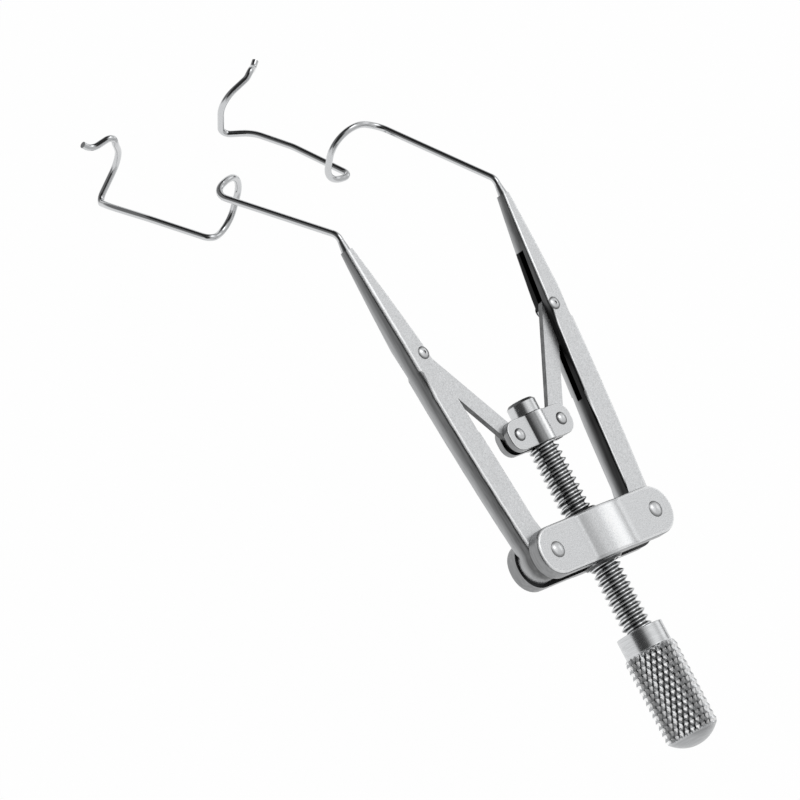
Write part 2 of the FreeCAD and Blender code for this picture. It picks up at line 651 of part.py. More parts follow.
GRIP_START = "(-knob_start - knob_neck_length)"
GRIP_END = f"({GRIP_START} - knob_grip_length)"
GRIP_FLAT = "(knob_diameter / 2 - knob_chamfer)"
KNOB_NECK = "(knob_diameter / 2 - knob_neck_step)"
thumb_knob = turned("thumb_knob", [
    ("screw_diameter / 2", "-knob_start", None), ("screw_diameter / 2", "-knob_start - knob_seat", None),
    ("0", "-knob_start - knob_seat", None),
    ("0", f"{GRIP_END} - knob_dome", dome_radius(GRIP_FLAT, "knob_dome")),
    (GRIP_FLAT, GRIP_END, None), ("knob_diameter / 2", f"{GRIP_END} + knob_chamfer", None),
    ("knob_diameter / 2", f"{GRIP_START} - knob_chamfer", None), (GRIP_FLAT, GRIP_START, None),
    (KNOB_NECK, GRIP_START, None), (KNOB_NECK, "-knob_start", None),
])


# Lid wires

RUN_SHARE = 0.98  # how much of a straight run its two bends may take up


def rounded_path(points, radii):
    """Return a wire of straight runs joined by arcs tangent to them, one arc at each inner point.

    Where two bends need more than the run between them, both get smaller.
    """
    runs = [(after - before).Length for before, after in zip(points, points[1:])]
    corners = [((before - corner).normalize(), (after - corner).normalize())
               for before, corner, after in zip(points, points[1:], points[2:])]
    slopes = [math.tan(back.getAngle(ahead) / 2) for back, ahead in corners]
    reaches = [0] + [radius / slope for radius, slope in zip(radii, slopes)] + [0]
    shares = [min(1, RUN_SHARE * run / (one + other)) for run, one, other in zip(runs, reaches, reaches[1:])]
    edges = []
    start = points[0]
    for i, (back, ahead) in enumerate(corners, start=1):
        reach = reaches[i] * min(shares[i - 1], shares[i])
        radius = reach * slopes[i - 1]
        inward = (back + ahead).normalize()
        middle = points[i] + inward * (math.hypot(radius, reach) - radius)
        first, last = points[i] + back * reach, points[i] + ahead * reach
        edges.append(Part.LineSegment(start, first).toShape())
        edges.append(Part.Arc(first, middle, last).toShape())
        start = last
    edges.append(Part.LineSegment(start, points[-1]).toShape())
    return Part.Wire(edges)


def make_lid_wire(label, side, yaw, pitch):
    """Return a lid wire. side is 1 on the right and -1 on the left; yaw and pitch are its set."""
    neck = FreeCAD.Vector(side * value("arm_tip_x"), value("arm_tip_y") + value("wire_neck"), 0)
    drop = math.radians(value("wire_drop_angle"))
    rail = FreeCAD.Vector(0, math.cos(drop), -math.sin(drop))
    below = FreeCAD.Vector(0, -math.sin(drop), -math.cos(drop))
    inward = FreeCAD.Vector(-side, 0, 0)
    turn = (FreeCAD.Rotation(FreeCAD.Vector(0, 0, 1), yaw)
            .multiply(FreeCAD.Rotation(FreeCAD.Vector(1, 0, 0), pitch)))
    points = [FreeCAD.Vector(neck.x, value("arm_tip_y") - value("wire_seat"), 0), neck]
    for bend, *_ in WIRE_BENDS:
        reach = (rail * value(bend + "_along") + inward * value(bend + "_inward")
                 + below * value(bend + "_below"))
        points.append(neck + turn.multVec(reach))
    radii = [value("wire_neck_radius")] + [value(bend[0] + "_radius") for bend in WIRE_BENDS[:-1]]
    path = rounded_path(points, radii)
    section = Part.Wire(Part.makeCircle(value("lid_wire_diameter") / 2, points[0], FreeCAD.Vector(0, 1, 0)))
    wire = path.makePipeShell([section], True, False)
    flare = Part.makeCone(value("wire_root_diameter") / 2, value("lid_wire_diameter") / 2,
                          value("wire_root_length"), FreeCAD.Vector(neck.x, value("arm_tip_y"), 0),
                          FreeCAD.Vector(0, 1, 0))
    solid = wire.fuse(flare).removeSplitter()
    expected = math.pi * (value("lid_wire_diameter") / 2) ** 2 * path.Length
    print(f"{label}: length {path.Length:.2f}, volume over section times length "
          f"{wire.Volume / expected:.4f}, least bend radius {min(radii):.2f}")
    feature = doc.addObject("Part::Feature", label)
    feature.Label = label
    feature.Shape = solid
    return feature


make_lid_wire("lid_wire_right", 1, value("right_wire_yaw"), value("right_wire_pitch"))
make_lid_wire("lid_wire_left", -1, value("left_wire_yaw"), value("left_wire_pitch"))


# Check and export

PIECES = [
    "base_plate_front", "base_plate_back", "drive_nut", "base_rivet_left", "base_rivet_right",
    "arm_left", "arm_right", "arm_pin_left", "arm_pin_right", "link_left", "link_right",
    "collar_plate_front", "collar_plate_back", "collar_rivet_left", "collar_rivet_right",
    "threaded_rod", "screw_end_cap", "thumb_knob", "lid_wire_left", "lid_wire_right",
]

doc.recompute()
for thing in doc.Objects:
    if "Invalid" in thing.State or "Error" in thing.State:
        raise RuntimeError(f"{thing.Label}: {thing.State}")
os.makedirs("parts", exist_ok=True)
for name in PIECES:
    piece = doc.getObjectsByLabel(name)[0]
    if piece.Shape.isNull() or not piece.Shape.isValid() or len(piece.Shape.Solids) != 1:
        raise RuntimeError(f"{name}: bad shape")
    piece.Shape.exportStep(f"parts/{name}.step")
    print(f"{name}: {piece.Shape.Volume:.3f} cubic mm")
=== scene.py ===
"""Looks of a wire eye speculum with a thumb screw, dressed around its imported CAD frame.

Row frame, in metres: the origin lies on the screw's axis, midway between the two arm pivots.
+X points to the right arm, +Y runs along the screw towards the lid wires and +Z leaves the side of
the arms that faces away from the eye. The lid wires drop towards -Z.
"""
import logging
import math
from dataclasses import dataclass
from enum import Enum
from typing import Any, Callable, Dict, Iterable, List, Optional, Tuple

import bmesh
import bpy
import numpy as np
from mathutils import Matrix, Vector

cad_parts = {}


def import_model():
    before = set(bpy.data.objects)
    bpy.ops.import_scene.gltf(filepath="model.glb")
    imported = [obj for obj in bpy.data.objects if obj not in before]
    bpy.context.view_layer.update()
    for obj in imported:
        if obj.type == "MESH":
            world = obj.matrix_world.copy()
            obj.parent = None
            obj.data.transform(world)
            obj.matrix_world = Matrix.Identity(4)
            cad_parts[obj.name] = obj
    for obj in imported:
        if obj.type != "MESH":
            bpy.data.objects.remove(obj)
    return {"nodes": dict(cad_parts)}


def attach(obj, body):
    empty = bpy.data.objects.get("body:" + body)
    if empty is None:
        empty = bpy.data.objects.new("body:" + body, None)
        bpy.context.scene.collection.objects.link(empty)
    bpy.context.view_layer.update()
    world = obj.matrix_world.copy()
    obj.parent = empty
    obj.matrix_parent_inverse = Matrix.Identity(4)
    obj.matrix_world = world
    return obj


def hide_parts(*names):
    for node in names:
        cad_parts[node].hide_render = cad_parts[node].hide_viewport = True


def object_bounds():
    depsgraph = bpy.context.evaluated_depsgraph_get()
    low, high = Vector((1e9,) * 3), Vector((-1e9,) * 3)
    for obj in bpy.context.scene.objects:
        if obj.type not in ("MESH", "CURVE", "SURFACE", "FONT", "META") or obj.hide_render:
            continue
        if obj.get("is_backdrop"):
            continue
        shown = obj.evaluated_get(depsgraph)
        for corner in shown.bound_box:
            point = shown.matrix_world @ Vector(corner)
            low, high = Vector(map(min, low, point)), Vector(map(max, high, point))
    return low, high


LOG = logging.getLogger("speculum")

MM = 0.001
Point = Tuple[float, float, float]
Colour = Tuple[float, float, float]
Span = Tuple[float, float]
Dress = Callable[[bpy.types.Object, str], None]
WHITE = (1.0, 1.0, 1.0, 1.0)


class Slot(Enum):
    """The record's material slots."""

    SATIN = "satin_steel"
    TURNED = "turned_steel"
    POLISHED = "polished_steel"
    WIRE = "spring_wire"


class Streak(Enum):
    """The way in which the marks of a finish run, as the stretch of its noise along X, Y and Z."""

    ALONG = (1.0, 0.05, 1.0)
    ROUND = (0.06, 1.0, 0.06)
    NONE = (1.0, 1.0, 1.0)


# Shader maths


class Graph:
    """The nodes of one material or world."""

    def __init__(self, tree: bpy.types.NodeTree) -> None:
        """Start from an empty node tree.

        Args:
            tree: The node tree to fill.
        """
        self.tree = tree
        tree.nodes.clear()

    def node(self, kind: str, settings: Optional[Dict[str, Any]] = None, **inputs: Any) -> bpy.types.Node:
        """Add a node.

        Args:
            kind: The node's type.
            settings: Properties that are set before the sockets.
            **inputs: A value, a Value or a socket for each input, by its name in lower case with
                underscores, or by its number as in i0.

        Returns:
            The new node.
        """
        made = self.tree.nodes.new(kind)
        for name, setting in (settings or {}).items():
            setattr(made, name, setting)
        for name, given in inputs.items():
            socket = self._input(made, name)
            if isinstance(given, Value):
                self.tree.links.new(given.socket, socket)
            elif isinstance(given, bpy.types.NodeSocket):
                self.tree.links.new(given, socket)
            else:
                socket.default_value = given
        return made

    @staticmethod
    def _input(node: bpy.types.Node, name: str) -> bpy.types.NodeSocket:
        """Find one of a node's inputs.

        Args:
            node: The node.
            name: The input's number as in i0, or its name in lower case.

        Returns:
            The input's socket.
        """
        if name[0] == "i" and name[1:].isdigit():
            return node.inputs[int(name[1:])]
        for socket in node.inputs:
            if socket.enabled and socket.name.lower().replace(" ", "_") == name:
                return socket
        raise KeyError(f"{node.bl_idname} has no input {name}")

    def value(self, node: bpy.types.Node, output: Any = 0) -> "Value":
        """Wrap one of a node's outputs."""
        return Value(self, node.outputs[output])

    def ramp(self, value: "Value", low: float, high: float) -> "Value":
        """Return a smooth step of a value, which falls if low is the larger of the two.

        Args:
            value: The value.
            low: Where the step is 0.
            high: Where it is 1.

        Returns:
            The step, between 0 and 1.
        """
        settings = {"interpolation_type": "SMOOTHSTEP"}
        if low <= high:
            made = self.node("ShaderNodeMapRange", settings, i0=value, i1=low, i2=high)
            return self.value(made)
        made = self.node("ShaderNodeMapRange", settings, i0=value, i1=high, i2=low)
        return 1.0 - self.value(made)

    def band(self, value: "Value", low: float, high: float, soft: float) -> "Value":
        """Return 1 where a value lies between low and high, with soft edges inside them, and 0 elsewhere."""
        return self.ramp(value, low, low + soft) * self.ramp(value, high, high - soft)

    def noise(self, place: "Value", size: float, streak: Streak = Streak.NONE,
              detail: float = 3.0) -> "Value":
        """Return noise, about 0 on average and mostly between -0.3 and 0.3.

        Args:
            place: Where it is read, in metres.
            size: The width of its features, in metres.
            streak: How they are drawn out.
            detail: How much finer noise lies on them.

        Returns:
            The noise.
        """
        scale = tuple(share / size for share in streak.value)
        spread = self.node("ShaderNodeMapping", i0=place, i3=scale)
        made = self.node("ShaderNodeTexNoise", i0=spread.outputs[0], scale=1.0, detail=detail)
        return self.value(made) - 0.5


class Value:
    """An output of a node. Arithmetic on values adds Math nodes."""

    def __init__(self, graph: Graph, socket: bpy.types.NodeSocket) -> None:
        """Wrap a socket of a graph."""
        self.graph = graph
        self.socket = socket

    def _math(self, operation: str, *others: Any) -> "Value":
        """Add a Math node with this value first."""
        inputs = {f"i{i}": other for i, other in enumerate((self, *others))}
        return self.graph.value(self.graph.node("ShaderNodeMath", {"operation": operation}, **inputs))

    def _reflected(self, operation: str, other: Any) -> "Value":
        """Add a Math node with this value second."""
        made = self.graph.node("ShaderNodeMath", {"operation": operation}, i0=other, i1=self)
        return self.graph.value(made)

    def __add__(self, other: Any) -> "Value":
        """Add."""
        return self._math("ADD", other)

    __radd__ = __add__

    def __sub__(self, other: Any) -> "Value":
        """Subtract."""
        return self._math("SUBTRACT", other)

    def __rsub__(self, other: Any) -> "Value":
        """Subtract this from a number."""
        return self._reflected("SUBTRACT", other)

    def __mul__(self, other: Any) -> "Value":
        """Multiply."""
        return self._math("MULTIPLY", other)

    __rmul__ = __mul__

    def __truediv__(self, other: Any) -> "Value":
        """Divide."""
        return self._math("DIVIDE", other)

    def __pow__(self, other: Any) -> "Value":
        """Raise to a power."""
        return self._math("POWER", other)

    def __abs__(self) -> "Value":
        """Return the size without the sign."""
        return self._math("ABSOLUTE")

    def higher(self, other: Any) -> "Value":
        """Return the higher of the two."""
        return self._math("MAXIMUM", other)

    def blend(self, low: float, high: float) -> "Value":
        """Return low where this mask is 0, high where it is 1 and a mix in between."""
        return low + self * (high - low)

    def dot(self, direction: Point) -> "Value":
        """Return this vector's dot product with a fixed one."""
        made = self.graph.node("ShaderNodeVectorMath", {"operation": "DOT_PRODUCT"}, i0=self, i1=direction)
        return self.graph.value(made, "Value")

    def parts(self) -> Tuple["Value", "Value", "Value"]:
        """Split a vector into X, Y and Z."""
        made = self.graph.node("ShaderNodeSeparateXYZ", i0=self)
        return tuple(self.graph.value(made, i) for i in range(3))


# Finishes


@dataclass
class Surface:
    """What a finish reads on the piece it covers."""

    graph: Graph
    place: Value
    normal: Value

    @property
    def radius(self) -> Value:
        """Return the distance from the screw's axis."""
        x, _, z = self.place.parts()
        return (x * x + z * z) ** 0.5


@dataclass(frozen=True)
class PaintedSideShade:
    """Painted shade on the side of a piece that faces one way.

    Attributes:
        way: The way that the shaded side faces, as a unit vector.
        facing: How much of the normal points that way where the painted shade starts and is full.
        painted_shade: What the colour is multiplied by where the painted shade is full.
    """

    way: Point
    facing: Span
    painted_shade: float

    def shade(self, surface: Surface) -> Value:
        """Return what the colour is multiplied by."""
        return surface.graph.ramp(surface.normal.dot(self.way), *self.facing).blend(1.0, self.painted_shade)


@dataclass(frozen=True)
class Finish:
    """A steel surface: its colour, how rough it is and how fine its grain is.

    Attributes:
        name: The material's name.
        colour: The steel's colour.
        roughness: The roughness without its grain.
        grain: The width of the grain's features.
        grain_depth: The height of the grain's relief.
        grain_gloss: How much the grain changes the roughness.
        mottle: How much it changes the colour.
        painted_side_shade: Painted shade on one side, if there is one.
    """

    name: str
    colour: Colour = (0.70, 0.71, 0.72)
    roughness: float = 0.3
    grain: float = 0.12 * MM
    grain_depth: float = 0.0
    grain_gloss: float = 0.1
    mottle: float = 0.0
    painted_side_shade: Optional[PaintedSideShade] = None

    def material(self) -> bpy.types.Material:
        """Build a Principled shader that is fed by shade, gloss and relief.

        Returns:
            The material.
        """
        made = bpy.data.materials.new(self.name)
        made.use_nodes = True
        graph = Graph(made.node_tree)
        spot = graph.node("ShaderNodeTexCoord")
        surface = Surface(graph, graph.value(spot, "Object"), graph.value(spot, "Normal"))
        shade = self.shade(surface)
        # Painted shade on the side of the piece that faces one way, if the finish has it.
        if self.painted_side_shade:
            shade = shade * self.painted_side_shade.shade(surface)
        tint = graph.node("ShaderNodeVectorMath", {"operation": "SCALE"}, i0=self.colour, scale=shade)
        bump = graph.node("ShaderNodeBump", height=self.relief(surface), distance=1.0, strength=1.0)
        shader = graph.node(
            "ShaderNodeBsdfPrincipled", base_color=tint.outputs[0], metallic=1.0,
            roughness=self.gloss(surface), normal=bump.outputs[0])
        graph.node("ShaderNodeOutputMaterial", surface=shader.outputs[0])
        return made

    def grain_noise(self, surface: Surface) -> Value:
        """Return the finish's fine grain, about 0 on average."""
        return surface.graph.noise(surface.place, self.grain)

    def shade(self, surface: Surface) -> Value:
        """Return what the colour is multiplied by."""
        return 1.0 + self.grain_noise(surface) * self.mottle

    def gloss(self, surface: Surface) -> Value:
        """Return the roughness."""
        return self.roughness + self.grain_noise(surface) * self.grain_gloss

    def relief(self, surface: Surface) -> Value:
        """Return the height of the grain, in metres."""
        return self.grain_noise(surface) * self.grain_depth


@dataclass(frozen=True)
class SatinPlate(Finish):
    """Bead-blasted faces across Z, with painted highlights on the roundings and painted shade on streaked
    sides.

    Attributes:
        side_shade: What the sides' colour is multiplied by, as painted shade.
        streak: The width of the marks that grinding left along the sides.
        side_streak: How much those marks change the colour.
        side_light: Painted light that is added to the sides towards -Z.
        light_from: The height at which that painted light starts.
        light_to: The height at which it is full.
        side_level: The normal's Z on a side is at most the first, and on a rounding at least the second.
        flat_level: It is at most the first on a rounding, and at least the second on a flat face.
        darkest: The least that the colour is multiplied by before its painted shading.
        edge_shine: What the painted highlight on the roundings adds to the colour.
        edge_blur: What they add to the roughness.
        bulge_half: Half the width of the bulge over the screw. Its curve isn't taken for a rounding.
        bulge_soft: How softly the bulge's finish ends.
        bulge_flank_shade: What the colour is multiplied by on the bulge's -X flank, as painted shade.
        flank_tilt: The normal's X where that flank starts and where it is full.
        crest: The heights at which the bulge's painted highlight starts and is full, here past every piece.
        crest_tilt: The normal's X where the crest starts and where it is full.
        crest_shine: What that painted highlight adds to the colour.
        inner_half: The height of the inner faces, which get painted shade.
        inner_gap: How far above them their shade starts and is full.
        inner_level: The normal's Z where it starts and is full.
        inner_shade: What the inner faces' colour is multiplied by.
    """

    side_shade: float = 0.2
    streak: float = 0.3 * MM
    side_streak: float = 0.3
    side_light: float = 0.0
    light_from: float = 0.4 * MM
    light_to: float = -0.9 * MM
    side_level: Span = (0.5, 0.68)
    flat_level: Span = (0.96, 0.998)
    darkest: float = 0.04
    edge_shine: float = 0.38
    edge_blur: float = 0.1
    bulge_half: float = 0.0
    bulge_soft: float = 0.3 * MM
    bulge_flank_shade: float = 1.0
    flank_tilt: Span = (-0.1, -0.3)
    crest: Span = (9.0 * MM, 9.5 * MM)
    crest_tilt: Span = (-0.12, 0.02)
    crest_shine: float = 0.38
    inner_half: float = 0.0
    inner_gap: Span = (0.06 * MM, 0.03 * MM)
    inner_level: Span = (0.6, 0.8)
    inner_shade: float = 0.1

    def masks(self, surface: Surface) -> Tuple[Value, Value]:
        """Find the sides and the roundings by how much of the normal points along Z.

        Args:
            surface: The piece's surface.

        Returns:
            Where the sides are, and where the roundings between side and face are.
        """
        x, _, _ = surface.place.parts()
        _, _, up = surface.normal.parts()
        level = abs(up)
        ramp = surface.graph.ramp
        beside = ramp(abs(x), self.bulge_half, self.bulge_half + self.bulge_soft)
        rounding = ramp(level, *self.side_level) * ramp(level, *reversed(self.flat_level))
        return ramp(level, *reversed(self.side_level)), rounding * beside

    def painted_shading(self, surface: Surface) -> Value:
        """Work out the painted shade on the bulge's flank and inner faces, and the painted highlight on its
        crest.

        Args:
            surface: The piece's surface.

        Returns:
            What the colour is multiplied by.
        """
        x, _, z = surface.place.parts()
        sideways, _, up = surface.normal.parts()
        ramp = surface.graph.ramp
        flank = ramp(abs(x), self.bulge_half, self.bulge_half - self.bulge_soft) * ramp(
            sideways, *self.flank_tilt)
        start, full = (self.inner_half + gap for gap in self.inner_gap)
        inner = ramp(abs(z), start, full) * ramp(abs(up), *self.inner_level)
        crest = ramp(abs(z), *self.crest) * ramp(sideways, *self.crest_tilt) * self.crest_shine
        return (crest + flank.blend(1.0, self.bulge_flank_shade)) * inner.blend(1.0, self.inner_shade)

    def streaks(self, surface: Surface) -> Value:
        """Return the marks that grinding left along the sides."""
        return surface.graph.noise(surface.place, self.streak, Streak.ALONG, 4.0)

    def shade(self, surface: Surface) -> Value:
        """Paint shade and grinding streaks on the sides, light on them towards -Z, and highlights on the
        roundings.

        Args:
            surface: The piece's surface.

        Returns:
            What the colour is multiplied by.
        """
        side, edge = self.masks(surface)
        _, _, z = surface.place.parts()
        # Painted highlight on the roundings; on the sides painted shade, lifted by painted light towards -Z.
        face = 1.0 + self.grain_noise(surface) * self.mottle + edge * self.edge_shine
        painted_light = surface.graph.ramp(z, self.light_from, self.light_to) * self.side_light
        ground = painted_light + (self.side_shade + self.streaks(surface) * self.side_streak)
        return (side * ground + (1.0 - side) * face).higher(self.darkest) * self.painted_shading(surface)

    def gloss(self, surface: Surface) -> Value:
        """Blur the roundings, where the blasting was strongest."""
        _, edge = self.masks(surface)
        return super().gloss(surface) + edge * self.edge_blur


@dataclass(frozen=True)
class ArmSteel(SatinPlate):
    """The plates' finish, with painted shade inside the link slot and on the side that faces the screw.

    Attributes:
        slot_half: Half the slot's height.
        slot_play: The share of that height over which the slot's finish ends.
        slot_low: Where the slot starts along the arm.
        slot_high: Where it ends.
        slot_soft: How softly it ends there.
        slot_shade: What the colour is multiplied by inside it, as painted shade.
        wall_tilt: How much of the normal points away from the screw where a wall starts and is full.
        floor_level: The normal's Z on the slot's floor and roof, where it starts and is full.
        under_level: The normal's Z that sets the wall under the slot apart from the arm's lower face.
        pin: The arm pin's place along the arm. Past it the wall under the slot gets the painted shade too.
        screw_side: What the colour is multiplied by on the side that faces the screw, as painted shade.
        screw_tilt: How much of the normal points away from the screw where that side starts and is full.
        lighter_from: How far from the pin, on both sides, painted light on that side starts and is full.
        lighter_share: The share of its painted shade that the painted light takes off past the pin.
    """

    slot_half: float = 0.36 * MM
    slot_play: float = 0.02
    slot_low: float = 13.4 * MM
    slot_high: float = 29.9 * MM
    slot_soft: float = 0.1 * MM
    slot_shade: float = 0.05
    wall_tilt: Span = (0.4, 0.2)
    floor_level: Span = (0.8, 0.95)
    under_level: Span = (-0.98, -0.9)
    pin: float = 23.5 * MM
    screw_side: float = 0.2
    screw_tilt: Span = (-0.3, -0.8)
    lighter_from: float = 1.0 * MM
    lighter_share: float = 0.5

    def slot(self, surface: Surface, away: Value) -> Value:
        """Return where the slot's floor and walls are, and the wall under it past the pin.

        Args:
            surface: The arm's surface.
            away: How much of its normal points away from the screw.

        Returns:
            The mask.
        """
        ramp = surface.graph.ramp
        _, y, z = surface.place.parts()
        _, _, up = surface.normal.parts()
        inner, outer = self.slot_half * (1 - self.slot_play), self.slot_half * (1 + self.slot_play)
        under = ramp(z, outer, inner)
        over = ramp(z, -outer, -inner)
        inside = under * over.higher(ramp(y, self.pin, self.pin + self.slot_soft))
        along = surface.graph.band(y, self.slot_low, self.slot_high, self.slot_soft)
        faces = ramp(away, *self.wall_tilt).higher(ramp(abs(up), *self.floor_level))
        return inside * along * faces * ramp(up, *self.under_level).higher(over)

    def shade(self, surface: Surface) -> Value:
        """Paint shade into the slot and onto the side that faces the screw.

        Args:
            surface: The piece's surface.

        Returns:
            What the colour is multiplied by.
        """
        graph = surface.graph
        x, y, z = surface.place.parts()
        sideways, _, _ = surface.normal.parts()
        away = graph.value(graph.node("ShaderNodeMath", {"operation": "SIGN"}, i0=x)) * sideways
        # Painted shade on the side that faces the screw, partly lifted by painted light past the pin.
        painted_light = graph.ramp(y, self.pin - self.lighter_from, self.pin + self.lighter_from) * self.lighter_share
        screw = graph.ramp(away, *self.screw_tilt) * graph.ramp(z, self.light_to, self.light_from) * (
            1.0 - painted_light)
        # Painted shade inside the slot, and on the wall under it past the pin.
        slot = self.slot(surface, away)
        return super().shade(surface) * slot.blend(1.0, self.slot_shade) * screw.blend(1.0, self.screw_side)


@dataclass(frozen=True)
class TurnedSteel(Finish):
    """Turned round the screw's axis, with fine rings from the tool.

    Attributes:
        ring: The rings' width.
        ring_depth: Their depth.
        ring_mark: How much they change the colour.
        chamfer_from: The normal's Y where a chamfer starts and is full.
        chamfer_to: The normal's Y past which it is a flat end, and up to which it is full.
        chamfer_shade: What the colour is multiplied by on the chamfers.
    """

    ring: float = 0.05 * MM
    ring_depth: float = 0.002 * MM
    ring_mark: float = 0.5
    chamfer_from: Span = (0.3, 0.5)
    chamfer_to: Span = (0.95, 0.85)
    chamfer_shade: float = 1.0

    def rings(self, surface: Surface) -> Value:
        """Return the tool's marks, which run round the axis."""
        return surface.graph.noise(surface.place, self.ring, Streak.ROUND, 2.0)

    def shade(self, surface: Surface) -> Value:
        """Let the rings show in the colour, and paint shade on the chamfers.

        Args:
            surface: The piece's surface.

        Returns:
            What the colour is multiplied by.
        """
        _, lengthwise, _ = surface.normal.parts()
        ramp = surface.graph.ramp
        chamfer = ramp(abs(lengthwise), *self.chamfer_from) * ramp(abs(lengthwise), *self.chamfer_to)
        return self.rings(surface) * self.ring_mark + chamfer.blend(1.0, self.chamfer_shade)

    def relief(self, surface: Surface) -> Value:
        """Return the rings' height, in metres."""
        return self.rings(surface) * self.ring_depth


@dataclass(frozen=True)
class CutSteel(TurnedSteel):
    """Turned steel with cut grooves, whose flanks between two radii get painted shade.

    Attributes:
        root_radius: The radius of the grooves' roots.
        crest_radius: The radius of the crests.
        soft: How far from roots and crests the flanks' dark is full.
        flank_shade: What the colour is multiplied by there.
    """

    root_radius: float = 1.18 * MM
    crest_radius: float = 1.575 * MM
    soft: float = 0.1 * MM
    flank_shade: float = 0.2

    def bright(self, surface: Surface) -> Value:
        """Find the crests and roots by their radius.

        Args:
            surface: The piece's surface.

        Returns:
            Where they are.
        """
        ramp = surface.graph.ramp
        crest = ramp(surface.radius, self.crest_radius - self.soft, self.crest_radius)
        return crest.higher(ramp(surface.radius, self.root_radius + self.soft, self.root_radius))

    def shade(self, surface: Surface) -> Value:
        """Paint shade on the flanks."""
        return super().shade(surface) * self.bright(surface).blend(self.flank_shade, 1.0)


@dataclass(frozen=True)
class KnobSteel(TurnedSteel):
    """The knob: painted light and shade on the knurl's flanks, painted shade in its pits and grooves, a
    ringed neck and end.

    Attributes:
        knurl_from: The height at which the knurl's pattern starts, as the mesh has it.
        starts: The number of grooves round the knob, in each of the two sets.
        lead: The height that a groove climbs from one start to the next.
        pit: How far from both grooves' middles, in parts of their spacing, a pit starts and is full.
        pit_shade: What the colour is multiplied by in a pit.
        grip_from: The height at which the grip starts.
        grip_to: The height at which it ends.
        grip_soft: How softly its finish ends at both.
        tip: The radii at which the points' tips, clear of the grooves' painted shade, start and are full.
        groove_shade: What the colour is multiplied by in the grooves.
        lit_tilt: The normal's Y where the flanks with painted light start and are full.
        shaded_flank: What the colour is multiplied by on the other flanks, as painted shade.
        lit_flank: What it is multiplied by on the lit ones, as painted light.
        end_soft: How softly the end's finish starts.
        end_shade: What the colour is multiplied by on the domed end, as painted shade.
    """

    knurl_from: float = -12.55 * MM
    starts: int = 26
    lead: float = 1.39 * MM
    pit: Span = (0.26, 0.14)
    pit_shade: float = 0.1
    grip_from: float = -12.7 * MM
    grip_to: float = -21.9 * MM
    grip_soft: float = 0.1 * MM
    tip: Span = (2.54 * MM, 2.68 * MM)
    groove_shade: float = 0.8
    lit_tilt: Span = (0.2, -0.2)
    shaded_flank: float = 0.72
    lit_flank: float = 1.6
    end_soft: float = 0.3 * MM
    end_shade: float = 0.62

    def pits(self, surface: Surface) -> Value:
        """Find where two grooves of the knurl cross, by turn round the axis and height.

        Args:
            surface: The piece's surface.

        Returns:
            Where the pits are.
        """
        graph = surface.graph
        x, y, z = surface.place.parts()
        turn = graph.value(graph.node("ShaderNodeMath", {"operation": "ARCTAN2"}, i0=x, i1=z))
        across = turn * (self.starts / (2 * math.pi))
        along = (y - self.knurl_from) / self.lead
        off = [graph.value(graph.node("ShaderNodeMath", {"operation": "PINGPONG"}, i0=way, i1=0.5))
               for way in (across + along, across - along)]
        return graph.ramp(off[0].higher(off[1]), *self.pit)

    def shade(self, surface: Surface) -> Value:
        """Paint shade in the grooves, most where they cross, and on flanks towards the thread, and light on
        the others.

        Args:
            surface: The piece's surface.

        Returns:
            What the colour is multiplied by.
        """
        graph = surface.graph
        _, y, _ = surface.place.parts()
        _, lengthwise, _ = surface.normal.parts()
        grip = graph.band(y, self.grip_to, self.grip_from, self.grip_soft)
        # Painted shade in the grooves; painted shade on flanks that face +Y, painted light on those that
        # face -Y.
        knurl = graph.ramp(surface.radius, *self.tip).blend(self.groove_shade, 1.0) * graph.ramp(
            lengthwise, *self.lit_tilt).blend(self.shaded_flank, self.lit_flank)
        knurl = knurl * (1.0 + self.grain_noise(surface) * self.mottle) * self.pits(surface).blend(
            1.0, self.pit_shade)
        end = graph.ramp(y, self.grip_to, self.grip_to - self.end_soft).blend(1.0, self.end_shade)
        return grip * knurl + (1.0 - grip) * super().shade(surface) * end


@dataclass(frozen=True)
class RivetSteel(Finish):
    """A rivet's polished head, with painted shade round its rim.

    Attributes:
        rim_shade: What the colour is multiplied by on the rim.
        rim: The normal's Z where the rim's full painted shade ends and where the crown without it starts.
    """

    rim_shade: float = 0.15
    rim: Span = (0.88, 0.95)

    def shade(self, surface: Surface) -> Value:
        """Paint shade on the rim, where the head turns down to the plate."""
        _, _, up = surface.normal.parts()
        return super().shade(surface) * surface.graph.ramp(abs(up), *self.rim).blend(self.rim_shade, 1.0)


@dataclass(frozen=True)
class DrawnWire(Finish):
    """Bright drawn wire, duller where it was brazed into its arm.

    Attributes:
        braze: The places along the screw at which the braze starts and is full.
        spot: The width of the braze's spots.
        spot_mark: How much they change the colour.
        braze_dulls: What the braze takes off the colour.
        braze_blur: What it adds to the roughness.
    """

    braze: Span = (37.4 * MM, 36.9 * MM)
    spot: float = 0.25 * MM
    spot_mark: float = 0.5
    braze_dulls: float = 0.12
    braze_blur: float = 0.22

    def brazed(self, surface: Surface) -> Value:
        """Return where the braze covers the wire."""
        _, y, _ = surface.place.parts()
        return surface.graph.ramp(y, *self.braze)

    def shade(self, surface: Surface) -> Value:
        """Dull and mottle the brazed root."""
        spots = surface.graph.noise(surface.place, self.spot) * self.spot_mark
        return super().shade(surface) + self.brazed(surface) * (spots - self.braze_dulls)

    def gloss(self, surface: Surface) -> Value:
        """Roughen the brazed root."""
        return super().gloss(surface) + self.brazed(surface) * self.braze_blur


